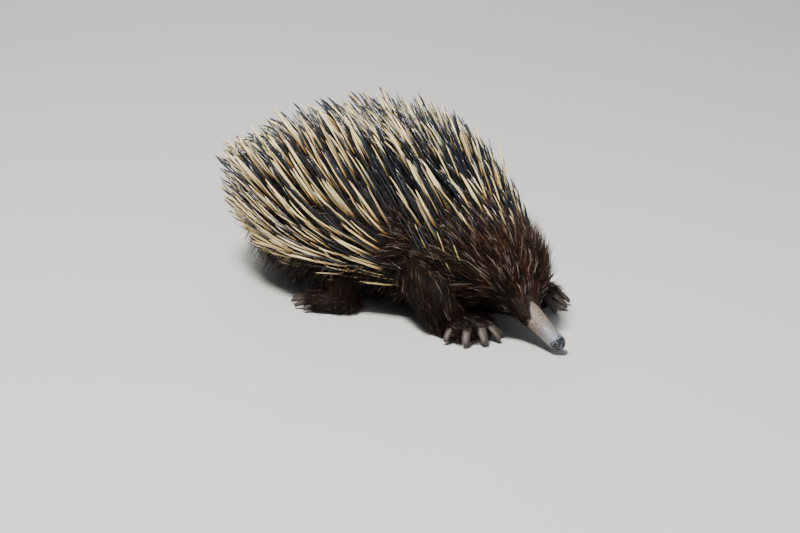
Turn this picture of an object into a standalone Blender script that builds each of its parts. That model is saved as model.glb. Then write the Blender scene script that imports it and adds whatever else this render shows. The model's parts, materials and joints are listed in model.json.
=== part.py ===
"""A short-beaked echidna, life size, foraging with its head down.

The animal faces +X and stands on the floor at Z 0, with its right side towards -Y. Lengths are in
metres, written as millimetres times MM. The flesh is made of sweeps along named stations. They are
parted with thin gaps, and spines, locks, claws and lids are fused into the part that they grow from.
"""

import math
import random

import bmesh
import bpy
import numpy as np
from mathutils import Matrix, Vector
from mathutils.bvhtree import BVHTree

MM = 0.001
GAP = 0.35 * MM
RNG = random.Random(41)
# Faces that turn less than this, in radians, count as one flat face
FLAT = 0.004

# Stations of the body from the rump to the tip of the beak: the centre x, y and z, then the half width
# and the reach above and below the centre, all in millimetres.
BODY = (
    (-120, 0, 55, 0, 0, 0),
    (-114, 0, 55, 27, 18, 20),
    (-97, 0, 57, 49, 33, 34),
    (-70, 0, 60, 67, 42.5, 48),
    (-35, 0, 62, 78, 48.5, 54),
    (5, 0, 62, 79, 49, 54),
    (42, -2, 60, 68.5, 42, 49),
    (76, -7, 55, 51, 31.5, 42),
    (103, -10.5, 51, 41, 26, 36),
    (124, -13.5, 44.5, 33.5, 24.5, 32),
    (139, -16.5, 37, 26.5, 20.5, 25),
    (149, -19.5, 29.8, 17, 13.2, 16),
    (157, -21.8, 24.2, 9.4, 8.4, 8.8),
    (169, -23.4, 17.8, 7.6, 6.9, 7.1),
    (182, -24.7, 11.2, 6.6, 5.9, 6.1),
    (190, -25.5, 7.5, 6.2, 5.2, 5.2),
    (195.5, -26, 5.6, 0, 0, 0),
)
TAIL = (
    (-96, 0, 42, 0, 0, 0),
    (-102, 0, 40, 13, 10, 10),
    (-118, 0, 34, 12, 9, 9),
    (-131, 0, 28, 8.5, 6.5, 6.5),
    (-139, 0, 24, 0, 0, 0),
)
# The limbs of the right side, then their feet, each from the body outwards
FORELIMB = (
    (60, -28, 58, 0, 0, 0),
    (66, -34, 50, 20, 15, 16),
    (84, -46, 37, 18, 15, 15),
    (101, -51, 22, 14, 12, 12),
    (110, -48, 11, 11, 9, 9),
    (113, -46, 6, 0, 0, 0),
)
FOREFOOT = (
    (101, -42, 9, 0, 0, 0),
    (105, -42.5, 9, 11, 7, 10),
    (117, -44, 9.5, 16, 7.5, 11),
    (128, -44.5, 10, 15.5, 6.5, 11),
    (136, -45, 9, 0, 0, 0),
)
HINDLIMB = (
    (-16, -28, 64, 0, 0, 0),
    (-10, -38, 55, 27, 18, 18),
    (1, -52, 38, 23, 17, 15),
    (12, -60, 20, 15, 12, 11),
    (16, -62, 9, 11, 9, 9),
    (16, -63, 5, 0, 0, 0),
)
HINDFOOT = (
    (27, -58, 9, 0, 0, 0),
    (24, -59, 8.5, 10, 7, 10),
    (11, -64.5, 8, 13, 8, 9.5),
    (-2, -70.5, 6.5, 13, 6.5, 8),
    (-9, -73.5, 5, 0, 0, 0),
)
# Claws of a right fore foot and hind foot: the root, the heading from +X in degrees, the length and
# the half width
FORECLAWS = (
    (130.5, -31.5, 10, 28, 10, 2.6),
    (134, -37.5, 11.5, 2, 12, 3.3),
    (133, -44.5, 12, -28, 13, 3.6),
    (128, -51.5, 12, -52, 14, 3.6),
    (119, -56, 11, -78, 11, 2.9),
)
HINDCLAWS = (
    (-1, -60, 6, 178, 12, 2.0),
    (-5, -66, 6.5, -170, 25, 2.2),
    (-6, -72, 6.5, -160, 18, 2.1),
    (-2, -77, 6, -145, 13, 2.0),
    (5, -78.5, 6, -125, 10, 1.9),
)
# Stations of a claw: the share of its length, of its width and of its drop to the floor
CLAW_SHAPE = ((-0.25, 0, -0.02), (-0.15, 0.8, 0), (0.4, 1, 0.25), (0.85, 0.72, 0.75), (1, 0, 1))
CLAW_THICK = 2.0
CLAW_TIP = 2.3
# How far the left fore leg and hind leg stand ahead of the right ones, in millimetres
LEFT_FORE = -14
LEFT_HIND = -51
# The slit of the mouth and the two nostrils at the tip of the beak: the place along BODY, the turn from
# the top and the size in millimetres
MOUTH = (15.75, 180, (4.5, 4.2, 0.9))
NOSTRILS = ((15.15, -28, (1.3, 0.6, 1)), (15.15, 28, (1.3, 0.6, 1)))
# The power that squares off the lower half of each section: 1 is an oval
SQUARE = 0.84
BODY_SIDES = 24
BODY_RINGS = 32
# Places along BODY, counted in stations, where the body is parted
NECK_CUT = 7.45
HEAD_CUT = 8.55
BEAK_CUT = 11.75

EYE_RADIUS = 3.6 * MM
EYE_PLACE = 11.3
EYE_TURN = 100
EYE_SHOWN = 1.3 * MM
LID_THICK = 0.8 * MM
LID_RAISED = 0.3 * MM
EAR_SIZE = (4.5 * MM, 7.5 * MM, 4 * MM)
EAR_HOLLOW = 0.62
EAR_PLACE = 8.95
EAR_TURN = 98

# Spines: the length and half width of the fullest, how deep the root sits and the distance between roots
SPINE_LENGTH = 44 * MM
SPINE_HALF = 1.75 * MM
SPINE_SUNK = 5 * MM
SPINE_APART = 11.1 * MM
SPINE_PLACES = (0.12, 7.32)
SPINE_TURN = 124
REAR_TURN = 150
REAR_PLACE = 1.3
SPINE_BEND = 0.1
SPINE_SHAKE = 0.07
# The shortest and longest spine as shares of the fullest, and what it loses in size low on the flank
SPINE_SPREAD = (0.8, 1.06)
HALF_SPREAD = (0.72, 1.05)
FLANK_LOSS = 0.22
# The coat flows back along the animal and down over the rump. On the sides it also flows up, most of all
# on the shoulders, and less again from the middle of the flank to its lower edge and at the far rear.
FLOW_UP = 0.2
SIDE_UP = 0.78
LOW_UP = -0.52
RUMP_UP = -0.5
FRONT_UP = 1.5
SIDE_TURNS = (10, 38)
REAR_SIDE_TURNS = (38, 64)
LOW_TURNS = (70, 118)
FRONT_TURNS = (48, 84)
RUMP_X = (20 * MM, 75 * MM)
END_X = (78 * MM, 108 * MM)
END_SHARE = 0.7
FRONT_X = (80 * MM, 112 * MM)
# How far a spine rises from the flow on the back, on the flank and on the shoulder
RISE_BACK = 0.75
RISE_FLANK = 0.45
RISE_SHOULDER = 0.9
FLANK_TURNS = (60, 112)
SHOULDER_X = (28 * MM, 70 * MM)
# A fold behind the shoulder where the spines part and woolly fur shows
FOLD_X = (64 * MM, 79 * MM)
FOLD_TURN = 64

# Spines of the neck: their size at its rear and at its front, and the distance between roots
NECK_SPINES = (0.92, 0.5)
NECK_SPINE_APART = 11.5 * MM
NECK_SPINE_TURN = 112

# Locks of bristly hair: the length, half width and half thickness of the fullest
LOCK_LENGTH = 19 * MM
LOCK_HALF = 2.6 * MM
LOCK_THIN = 0.9 * MM
LOCK_SUNK = 2.5 * MM
LOCK_APART = 11 * MM
LOCK_BEND = 0.22
LOCK_RISE = 0.42
LOCK_SHAKE = 0.12
LOCK_SPREAD = (0.8, 1.1)
FRINGE_TURNS = (128, 140)
FRINGE_PLACES = (1.4, 7.0)
FRINGE_DROOP = 0.7
CHEEK_TURN = 150
HEAD_LOCK_APART = 9.4 * MM
HEAD_LOCK_PLACES = (8.67, 11.4)
FLOOR_CLEAR = 1.5 * MM
# Rings of a strand, each a share of its length and of its width, and how many sides it has
SPINE_RINGS = ((-0.085, 0.9), (0.56, 1))
LOCK_RINGS = ((-0.1, 0.75), (0.42, 1), (0.76, 0.6))
SIDES = 3
# Points along a strand where its distance to others is measured, and how much more each try stands up
SAMPLES = 16
LIFTS = (0, 0, 0, 0.08, 0.15, 0.25, 0.4, 0.6)
SMOOTH_BELOW = math.radians(35)


def material(name, colour, roughness):
    made = bpy.data.materials.new(name)
    made.use_nodes = True
    shader = made.node_tree.nodes["Principled BSDF"]
    shader.inputs["Base Color"].default_value = (*colour, 1)
    shader.inputs["Roughness"].default_value = roughness
    shader.inputs["Metallic"].default_value = 0
    return made


def catmull(rows, place):
    """The row of numbers at a place along the stations, on a smooth curve through them."""
    last = len(rows) - 1
    i = min(int(place), last - 1)
    f = place - i
    a, b = rows[max(i - 1, 0)], rows[i]
    c, d = rows[i + 1], rows[min(i + 2, last)]
    return 0.5 * (
        2 * b + (c - a) * f + (2 * a - 5 * b + 4 * c - d) * f * f + (3 * b - a - 3 * c + d) * f**3
    )


class Sweep:
    """A smooth closed form along stations, with an oval section at each."""

    def __init__(self, stations, across=(0, 0, 1)):
        self.rows = np.array(stations, float) * MM
        self.across = Vector(across)
        self.last = len(stations) - 1

    def frame(self, place):
        place = min(max(place, 0), self.last)
        row = catmull(self.rows, place)
        before = catmull(self.rows, max(place - 0.05, 0))
        after = catmull(self.rows, min(place + 0.05, self.last))
        along = Vector(after[:3] - before[:3]).normalized()
        side = self.across.cross(along).normalized()
        return Vector(row[:3]), along, side, along.cross(side), np.maximum(row[3:], 0)

    def point(self, place, degrees):
        """The surface at an angle from the top, positive towards the animal's left."""
        centre, _, side, up, (half, above, below) = self.frame(place)
        out, rise = math.sin(math.radians(degrees)), math.cos(math.radians(degrees))
        if rise < 0:
            out, rise = math.copysign(abs(out) ** SQUARE, out), -(abs(rise) ** SQUARE)
        return centre + side * half * out + up * (above if rise > 0 else below) * rise

    def normal(self, place, degrees):
        around = self.point(place, degrees + 1) - self.point(place, degrees - 1)
        onward = self.point(place + 0.04, degrees) - self.point(place - 0.04, degrees)
        return onward.cross(around).normalized()

    def mesh(self, name, sides, rings):
        """A UV sphere whose rings are laid on the stations, with a pole at each end."""
        bm = bmesh.new()
        bmesh.ops.create_uvsphere(bm, u_segments=sides, v_segments=rings, radius=1)
        for vert in bm.verts:
            place = math.acos(max(-1, min(1, vert.co.z))) / math.pi * self.last
            turn = math.degrees(math.atan2(vert.co.y, vert.co.x))
            vert.co = self.point(round(place, 6), turn)
        return finish(name, bm)


def finish(name, bm):
    bmesh.ops.triangulate(bm, faces=bm.faces)
    bmesh.ops.recalc_face_normals(bm, faces=bm.faces)
    if bm.calc_volume(signed=True) < 0:
        bmesh.ops.reverse_faces(bm, faces=bm.faces)
    mesh = bpy.data.meshes.new(name)
    bm.to_mesh(mesh)
    bm.free()
    made = bpy.data.objects.new(name, mesh)
    bpy.context.scene.collection.objects.link(made)
    return made


def remove(obj):
    mesh = obj.data
    bpy.data.objects.remove(obj)
    bpy.data.meshes.remove(mesh)


def largest_only(bm):
    """Keeps the largest closed surface and deletes every other one."""
    left, best = set(bm.verts), set()
    while left:
        piece, edge = set(), [left.pop()]
        while edge:
            vert = edge.pop()
            piece.add(vert)
            for link in vert.link_edges:
                other = link.other_vert(vert)
                if other in left:
                    left.discard(other)
                    edge.append(other)
        if len(piece) > len(best):
            best = piece
    bmesh.ops.delete(bm, geom=[v for v in bm.verts if v not in best], context="VERTS")


def boolean(obj, tools, operation):
    """Joins or cuts obj with every tool in one Boolean, applies it and removes the tools."""
    group = bpy.data.collections.new("tools")
    bpy.context.scene.collection.children.link(group)
    for tool in tools:
        for home in tool.users_collection:
            home.objects.unlink(tool)
        group.objects.link(tool)
    step = obj.modifiers.new("join", "BOOLEAN")
    step.operation = operation
    step.operand_type = "COLLECTION"
    step.collection = group
    step.solver = "MANIFOLD"
    bm = bmesh.new()
    bm.from_object(obj, bpy.context.evaluated_depsgraph_get())
    obj.modifiers.remove(step)
    largest_only(bm)
    bmesh.ops.dissolve_limit(bm, angle_limit=FLAT, verts=bm.verts, edges=bm.edges)
    bmesh.ops.triangulate(bm, faces=bm.faces)
    bm.to_mesh(obj.data)
    bm.free()
    for tool in tools:
        remove(tool)
    bpy.data.collections.remove(group)
    return obj


def halved(obj, name, cuts):
    """A copy of obj, cut by planes given as a point and the way that is cut off, closed by flat faces."""
    bm = bmesh.new()
    bm.from_mesh(obj.data)
    for point, off in cuts:
        every = bm.verts[:] + bm.edges[:] + bm.faces[:]
        cut = bmesh.ops.bisect_plane(bm, geom=every, plane_co=point, plane_no=off, clear_outer=True)
        rim = [edge for edge in cut["geom_cut"] if isinstance(edge, bmesh.types.BMEdge)]
        bmesh.ops.holes_fill(bm, edges=rim)
    return finish(name, bm)


def between(body, name, first, last):
    """The body from one place along it to another, with half a gap left at each cut."""
    cuts = []
    for place, way in ((first, -1), (last, 1)):
        if place is not None:
            centre, along = BODY_SWEEP.frame(place)[:2]
            cuts.append((centre - along * way * GAP / 2, along * way))
    return halved(body, name, cuts)


def grown(obj, name, by):
    """A copy of obj with its surface moved out."""
    bm = bmesh.new()
    bm.from_mesh(obj.data)
    bm.normal_update()
    for vert, normal in [(vert, vert.normal.copy()) for vert in bm.verts]:
        vert.co += normal * by
    return finish(name, bm)


def ball(name, centre, radii, turn=None, sides=12, rings=8):
    """An ellipsoid about a centre, turned by a matrix."""
    bm = bmesh.new()
    bmesh.ops.create_uvsphere(bm, u_segments=sides, v_segments=rings, radius=1)
    placed = Matrix.Translation(centre) @ (turn or Matrix()) @ Matrix.Diagonal((*radii, 1))
    bmesh.ops.transform(bm, matrix=placed, verts=bm.verts)
    return finish(name, bm)


def seat(place, degrees):
    """A point of the body's skin, with axes ahead, up across it and straight out of it."""
    point, out = BODY_SWEEP.point(place, degrees), BODY_SWEEP.normal(place, degrees)
    ahead = BODY_SWEEP.frame(place)[1]
    ahead = (ahead - out * ahead.dot(out)).normalized()
    turn = Matrix((ahead, out.cross(ahead), out)).transposed().to_4x4()
    return point, out, turn


def lid(name, centre, turn):
    """A rim of skin about an eye, longer along the head than across it."""
    bpy.ops.mesh.primitive_torus_add(
        major_segments=12, minor_segments=5, major_radius=EYE_RADIUS, minor_radius=LID_THICK
    )
    made = bpy.context.object
    made.name = name
    made.data.transform(Matrix.Translation(centre) @ turn @ Matrix.Diagonal((1.12, 0.86, 0.9, 1)))
    return made


def eye(head, side):
    """An eye in its socket, with the lid joined to the head."""
    point, out, turn = seat(EYE_PLACE, EYE_TURN * side)
    boolean(head, [lid("lid", point + out * LID_RAISED, turn)], "UNION")
    centre = point - out * (EYE_RADIUS - EYE_SHOWN)
    socket = ball("socket", centre, [EYE_RADIUS + GAP] * 3, turn, 12, 8)
    boolean(head, [socket], "DIFFERENCE")
    return ball("eye_left" if side > 0 else "eye_right", centre, [EYE_RADIUS] * 3, turn, 12, 8)


def ear(skin, side):
    """A low cup of skin about the opening of an ear, seated on the head."""
    point, out, turn = seat(EAR_PLACE, EAR_TURN * side)
    made = ball("ear_left" if side > 0 else "ear_right", point, EAR_SIZE, turn, 12, 6)
    hollow = [size * EAR_HOLLOW for size in EAR_SIZE]
    cup = ball("cup", point + out * EAR_SIZE[2] * 0.75, hollow, turn, 10, 6)
    return boolean(made, [grown(skin, "clear", GAP), cup], "DIFFERENCE")


def mirrored(stations, forward=0):
    """The same stations on the left side, set forward or back."""
    return tuple((x + forward, -y, *rest) for x, y, *rest in stations)


def claw(name, root, heading, length, width):
    """A flat, blunt claw along a heading from its root inside the foot down to the floor."""
    ahead = Vector((math.cos(heading), math.sin(heading), 0))
    drop = root.z - CLAW_TIP * MM
    rows = []
    for share, wide, down in CLAW_SHAPE:
        at = root + ahead * length * share - Vector((0, 0, drop * down))
        rows.append((*(at / MM), width * wide, CLAW_THICK * min(1, wide), CLAW_THICK * min(1, wide)))
    return Sweep(rows).mesh(name, 6, 5)


def leg(name, limb, foot, toes, side, forward=0):
    """A limb, its foot and its claws in one piece, its sole cut flat on the floor."""
    if side > 0:
        limb, foot = mirrored(limb, forward), mirrored(foot, forward)
    made = Sweep(limb, (0, 1, 0)).mesh(name, 10, 9)
    pieces = [Sweep(foot).mesh("foot", 10, 8)]
    for x, y, z, turn, length, width in toes:
        root = Vector((x + (forward if side > 0 else 0), y * -side, z)) * MM
        pieces.append(claw("claw", root, math.radians(turn) * -side, length * MM, width))
    return boolean(made, pieces, "UNION")


BODY_SWEEP = Sweep(BODY)
TAIL_SWEEP = Sweep(TAIL)


def open_mouth(beak):
    """Cuts the slit of the mouth under the tip of the beak and the nostrils above it."""
    cutters = []
    for place, degrees, size in (MOUTH, *NOSTRILS):
        point, _, turn = seat(place, degrees)
        cutters.append(ball("hollow", point, [value * MM for value in size], turn, 8, 5))
    boolean(beak, cutters, "DIFFERENCE")


class Strand:
    """A spine or a lock: a root on the skin, a way to grow, and a bend towards one side."""

    def __init__(self, root, way, bend, length, half, thin, sunk):
        self.root, self.way, self.length = root, way.normalized(), length
        self.bend = bend - self.way * bend.dot(self.way)
        self.half, self.thin, self.sunk = half, thin, sunk
        shares = np.linspace(-sunk / length, 1, SAMPLES)
        self.line = np.array([self.at(share) for share in shares])

    def at(self, share):
        return self.root + (self.way + self.bend * max(share, 0) ** 2) * share * self.length

    def mesh(self, rings, sides):
        """A long closed form of a few rings, each given as its share of the length and of the width."""
        across = self.way.cross(self.bend).normalized()
        off = across.cross(self.way)
        bm = bmesh.new()
        bmesh.ops.create_uvsphere(bm, u_segments=sides, v_segments=len(rings) + 1, radius=1)
        for vert in bm.verts:
            row = round(math.acos(max(-1, min(1, vert.co.z))) / math.pi * (len(rings) + 1))
            flat = vert.co.xy.normalized() if 0 < row <= len(rings) else Vector((0, 0))
            share, width = ((-self.sunk / self.length, 0), *rings, (1, 0))[row]
            vert.co = self.at(share) + (across * flat.y * self.half + off * flat.x * self.thin) * width
        return finish("strand", bm)


def spots(places, apart, turns):
    """Places and turns spread evenly over the skin, a little shaken, on both sides of the back."""
    place, row = places[0], 0
    while place < places[1]:
        for side in (-1, 1):
            turn = turns[0]
            if row % 2 or turn:
                turn += 0.5 * apart / around(place, turn)
            elif side > 0:
                turn += apart / around(place, turn)
            while turn < turns[1]:
                shake = RNG.uniform(-0.16, 0.16) * apart / around(place, turn)
                yield place + RNG.uniform(-0.07, 0.07), (turn + shake) * side
                turn += apart / around(place, turn)
        ahead = (BODY_SWEEP.point(place + 0.1, 60) - BODY_SWEEP.point(place, 60)).length / 0.1
        place += 0.87 * apart / ahead
        row += 1


def around(place, turn):
    """The distance over the skin for a degree of turn."""
    return max((BODY_SWEEP.point(place, turn + 1) - BODY_SWEEP.point(place, turn)).length, 0.05 * MM)


def blend(value, low, high):
    share = min(1, max(0, (value - low) / (high - low)))
    return share * share * (3 - 2 * share)


def flow(x, turn):
    """The way the coat lies at a distance along the animal and a turn from the top."""
    turn = abs(turn)
    rump = blend(-x, *RUMP_X)
    side = blend(turn, *SIDE_TURNS) * (1 - rump) + blend(turn, *REAR_SIDE_TURNS) * rump
    side_up = SIDE_UP * (1 - END_SHARE * blend(-x, *END_X))
    up = FLOW_UP + RUMP_UP * rump * (1 - side) + side_up * side + LOW_UP * blend(turn, *LOW_TURNS)
    return Vector((-1, 0, up + FRONT_UP * blend(turn, *FRONT_TURNS) * blend(x, *FRONT_X)))


def shaken(by):
    return Vector([RNG.uniform(-by, by) for _ in range(3)])


def spine(place, turn, size=1.0, lift=0.0):
    """A spine that stands higher over the shoulders and lies flatter and shorter low on the flank."""
    root, out = BODY_SWEEP.point(place, turn), BODY_SWEEP.normal(place, turn)
    low = blend(abs(turn), *FLANK_TURNS)
    rise = RISE_BACK + (RISE_FLANK - RISE_BACK) * low + lift
    rise += (RISE_SHOULDER - RISE_BACK) * blend(root.x, *SHOULDER_X) * (1 - low)
    back = flow(root.x, turn)
    length = SPINE_LENGTH * size * RNG.uniform(*SPINE_SPREAD) * (1 - FLANK_LOSS * low)
    half = SPINE_HALF * (0.5 + 0.5 * size) * RNG.uniform(*HALF_SPREAD) * (1 - FLANK_LOSS * low)
    bend = (back - out) * SPINE_BEND
    return Strand(root, back + out * rise + shaken(SPINE_SHAKE), bend, length, half, half, SPINE_SUNK)


def lock(place, turn, size=1.0, lift=0.0, droop=0.0):
    """A flat lock that lies back along the head or hangs from the flank."""
    root, out = BODY_SWEEP.point(place, turn), BODY_SWEEP.normal(place, turn)
    back = -BODY_SWEEP.frame(place)[1]
    way = back + out * (LOCK_RISE + lift) + shaken(LOCK_SHAKE)
    way.z -= droop
    length = LOCK_LENGTH * size * RNG.uniform(*LOCK_SPREAD)
    half = LOCK_HALF * (0.4 + 0.6 * size) * RNG.uniform(*LOCK_SPREAD)
    return Strand(root, way, -out * LOCK_BEND, length, half, LOCK_THIN, LOCK_SUNK)


class Coat:
    """All strands grown so far, kept clear of every node but their own."""

    def __init__(self, nodes):
        self.trees = {}
        for node in nodes:
            bm = bmesh.new()
            bm.from_mesh(node.data)
            self.trees[node.name] = BVHTree.FromBMesh(bm)
            bm.free()
        self.grown = {node.name: [] for node in nodes}

    def least_apart(self, strand, other, free=0):
        """How far two strands are apart beyond touching, at the least, past the first samples of each."""
        if (other.root - strand.root).length > other.length + strand.length:
            return 1
        step = (other.length + strand.length) / 2 / (SAMPLES - 1)
        touch = math.hypot(max(strand.half, strand.thin) + max(other.half, other.thin) + GAP, 0.71 * step)
        apart = other.line[free:, None] - strand.line[None, free:]
        return math.sqrt((apart**2).sum(axis=2).min()) - touch

    def crowding(self, name, strand):
        """How far it stays from the strands of its own node, past the roots."""
        return min((self.least_apart(strand, other, 3) for other in self.grown[name]), default=1)

    def clear(self, name, strand):
        wide = max(strand.half, strand.thin)
        if strand.line[:, 2].min() < FLOOR_CLEAR + wide:
            return False
        for other, tree in self.trees.items():
            if other == name:
                continue
            for point in strand.line:
                if tree.find_nearest(Vector(point))[3] < wide + GAP * 1.5:
                    return False
            if any(self.least_apart(strand, there) < 0 for there in self.grown[other]):
                return False
        return True

    def grow(self, name, make, place, turn, size=1.0, **extra):
        """Adds the strand that crosses no other, of a few tries that stand up more and more."""
        for lift in LIFTS:
            strand = make(place, turn, size, lift, **extra)
            if self.clear(name, strand) and self.crowding(name, strand) > 0:
                self.grown[name].append(strand)
                return

    def join(self, node):
        tools = []
        for strand in self.grown[node.name]:
            flat = strand.thin < strand.half
            tools.append(strand.mesh(LOCK_RINGS if flat else SPINE_RINGS, SIDES))
        return boolean(node, tools, "UNION")


def in_fold(place, turn):
    x = BODY_SWEEP.point(place, turn).x
    return abs(turn) > FOLD_TURN and FOLD_X[0] < x < FOLD_X[1]


def grow_coat(nodes):
    """Spines on the torso, spines among locks on the neck, and locks on the head and the low flanks."""
    coat = Coat(nodes)
    for place, turn in spots(SPINE_PLACES, SPINE_APART, (0, REAR_TURN)):
        if (place < REAR_PLACE or abs(turn) < SPINE_TURN) and not in_fold(place, turn):
            coat.grow("torso", spine, place, turn)
    for place, turn in spots(FRINGE_PLACES, LOCK_APART, FRINGE_TURNS):
        coat.grow("torso", lock, place, turn, droop=FRINGE_DROOP)
    neck = (NECK_CUT + 0.15, HEAD_CUT - 0.05)
    for place, turn in spots(neck, NECK_SPINE_APART, (0, NECK_SPINE_TURN)):
        ahead = blend(place, *neck)
        coat.grow("neck", spine, place, turn, NECK_SPINES[0] + (NECK_SPINES[1] - NECK_SPINES[0]) * ahead)
    for place, turn in spots(neck, LOCK_APART, (8, CHEEK_TURN)):
        coat.grow("neck", lock, place, turn)
    for place, turn in spots(HEAD_LOCK_PLACES, HEAD_LOCK_APART, (0, CHEEK_TURN)):
        coat.grow("head", lock, place, turn, 1 - 0.5 * blend(place, *HEAD_LOCK_PLACES))
    for node in nodes:
        if coat.grown[node.name]:
            coat.join(node)
            print(node.name, len(coat.grown[node.name]), "strands", len(node.data.polygons), "triangles")


def stand_on_centre():
    """Moves every mesh so that the floor point under the middle of them all is the origin."""
    meshes = [obj.data for obj in bpy.context.scene.objects]
    points = np.array([vert.co for mesh in meshes for vert in mesh.vertices])
    middle = (points.min(axis=0) + points.max(axis=0)) / 2
    for mesh in meshes:
        mesh.transform(Matrix.Translation((-middle[0], -middle[1], 0)))


def main():
    fur = material("dark_fur", (0.045, 0.028, 0.02), 0.85)
    horn = material("spines", (0.55, 0.42, 0.24), 0.45)
    skin = material("beak_skin", (0.32, 0.24, 0.2), 0.6)
    black = material("eye_black", (0.01, 0.009, 0.008), 0.15)
    body = BODY_SWEEP.mesh("body", BODY_SIDES, BODY_RINGS)
    torso = between(body, "torso", None, NECK_CUT)
    neck = between(body, "neck", NECK_CUT, HEAD_CUT)
    head = between(body, "head", HEAD_CUT, BEAK_CUT)
    beak = between(body, "beak", BEAK_CUT, None)
    tail = TAIL_SWEEP.mesh("tail", 12, 10)
    legs = (
        leg("foreleg_right", FORELIMB, FOREFOOT, FORECLAWS, -1),
        leg("foreleg_left", FORELIMB, FOREFOOT, FORECLAWS, 1, LEFT_FORE),
        leg("hindleg_right", HINDLIMB, HINDFOOT, HINDCLAWS, -1),
        leg("hindleg_left", HINDLIMB, HINDFOOT, HINDCLAWS, 1, LEFT_HIND),
    )
    for obj in (tail, *legs):
        boolean(obj, [grown(body, "clear", GAP)], "DIFFERENCE")
    soles = []
    for obj in legs:
        name = obj.name
        obj.name = "whole"
        soles.append(halved(obj, name, [(Vector((0, 0, 0)), Vector((0, 0, -1)))]))
        remove(obj)
    eyes = [eye(head, side) for side in (-1, 1)]
    ears = [ear(body, side) for side in (-1, 1)]
    open_mouth(beak)
    remove(body)
    grow_coat((torso, neck, head, beak, tail, *soles, *eyes, *ears))
    torso.data.materials.append(horn)
    for obj in (neck, head, tail, *soles):
        obj.data.materials.append(fur)
    for obj in (beak, *ears):
        obj.data.materials.append(skin)
    for obj in eyes:
        obj.data.materials.append(black)
    for obj in bpy.context.scene.objects:
        obj.data.shade_smooth()
        obj.data.set_sharp_from_angle(angle=SMOOTH_BELOW)
    stand_on_centre()


for old in list(bpy.data.objects):
    bpy.data.objects.remove(old)
main()
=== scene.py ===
# %% [markdown]
# # A short-beaked echidna
# An echidna is a small, low animal under a coat of stout spines. Only its beak is bare: the rest carries
# bristly brown hair, which also grows between the spines. This lesson builds the looks of a life-size
# model around a frame that already holds its exact solids. The box of the frame is kept, because nothing
# that is added may outgrow it.

# %% The frame
import json
import math

import bmesh
import bpy
import numpy as np
from mathutils import Matrix, Vector
from mathutils.bvhtree import BVHTree
from mathutils.kdtree import KDTree

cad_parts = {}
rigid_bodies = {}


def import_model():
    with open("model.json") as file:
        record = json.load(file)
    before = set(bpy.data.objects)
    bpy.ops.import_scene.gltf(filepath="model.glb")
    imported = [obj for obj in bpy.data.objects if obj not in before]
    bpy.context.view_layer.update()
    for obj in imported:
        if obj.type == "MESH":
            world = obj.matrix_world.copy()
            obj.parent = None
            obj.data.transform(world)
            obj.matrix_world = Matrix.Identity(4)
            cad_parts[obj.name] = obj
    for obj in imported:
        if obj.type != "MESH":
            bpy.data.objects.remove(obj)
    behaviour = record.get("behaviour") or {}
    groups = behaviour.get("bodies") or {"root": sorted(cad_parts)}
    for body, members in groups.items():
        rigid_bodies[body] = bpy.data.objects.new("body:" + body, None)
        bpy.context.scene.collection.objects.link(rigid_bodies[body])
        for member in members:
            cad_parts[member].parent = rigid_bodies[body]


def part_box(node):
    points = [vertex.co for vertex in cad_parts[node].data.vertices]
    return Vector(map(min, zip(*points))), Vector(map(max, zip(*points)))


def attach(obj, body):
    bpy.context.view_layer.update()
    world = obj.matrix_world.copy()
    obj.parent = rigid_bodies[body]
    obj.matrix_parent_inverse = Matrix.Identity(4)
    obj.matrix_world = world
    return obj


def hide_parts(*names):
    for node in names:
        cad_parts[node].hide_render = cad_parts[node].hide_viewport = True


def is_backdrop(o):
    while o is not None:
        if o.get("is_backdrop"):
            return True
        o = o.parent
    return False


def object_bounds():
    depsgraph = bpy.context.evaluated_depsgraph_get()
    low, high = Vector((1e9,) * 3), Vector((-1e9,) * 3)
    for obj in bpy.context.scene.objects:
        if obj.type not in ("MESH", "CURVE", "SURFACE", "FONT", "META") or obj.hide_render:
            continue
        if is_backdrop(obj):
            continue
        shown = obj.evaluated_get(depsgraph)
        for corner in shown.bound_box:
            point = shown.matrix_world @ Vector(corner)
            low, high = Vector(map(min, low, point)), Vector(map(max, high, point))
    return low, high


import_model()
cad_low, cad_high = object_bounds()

MM = 0.001
print("frame box in mm", [round(v / MM) for v in cad_low], [round(v / MM) for v in cad_high])

# %% [markdown]
# ## The flesh as sweeps
# A body like this is a stack of ovals along a bent line. Each form is listed as stations: the centre of
# an oval, its half width, and its reach above and below. A smooth curve gives any oval between them. The
# solids of the frame came from the same stations, so what is made from them sits where the solids are.

# %% Stations in millimetres, from the rump to the tip of the beak and down each limb
BODY = (
    (-120, 0, 55, 0, 0, 0), (-114, 0, 55, 27, 18, 20), (-97, 0, 57, 49, 33, 34),
    (-70, 0, 60, 67, 42.5, 48), (-35, 0, 62, 78, 48.5, 54), (5, 0, 62, 79, 49, 54),
    (42, -2, 60, 68.5, 42, 49), (76, -7, 55, 51, 31.5, 42), (103, -10.5, 51, 41, 26, 36),
    (124, -13.5, 44.5, 33.5, 24.5, 32), (139, -16.5, 37, 26.5, 20.5, 25), (149, -19.5, 29.8, 17, 13.2, 16),
    (157, -21.8, 24.2, 9.4, 8.4, 8.8), (169, -23.4, 17.8, 7.6, 6.9, 7.1), (182, -24.7, 11.2, 6.6, 5.9, 6.1),
    (190, -25.5, 7.5, 6.2, 5.2, 5.2), (195.5, -26, 5.6, 0, 0, 0),
)
TAIL = (
    (-96, 0, 42, 0, 0, 0), (-102, 0, 40, 13, 10, 10), (-118, 0, 34, 12, 9, 9),
    (-131, 0, 28, 8.5, 6.5, 6.5), (-139, 0, 24, 0, 0, 0),
)
FORELIMB = (
    (60, -28, 58, 0, 0, 0), (66, -34, 50, 20, 15, 16), (84, -46, 37, 18, 15, 15),
    (101, -51, 22, 14, 12, 12), (110, -48, 11, 11, 9, 9), (113, -46, 6, 0, 0, 0),
)
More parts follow.
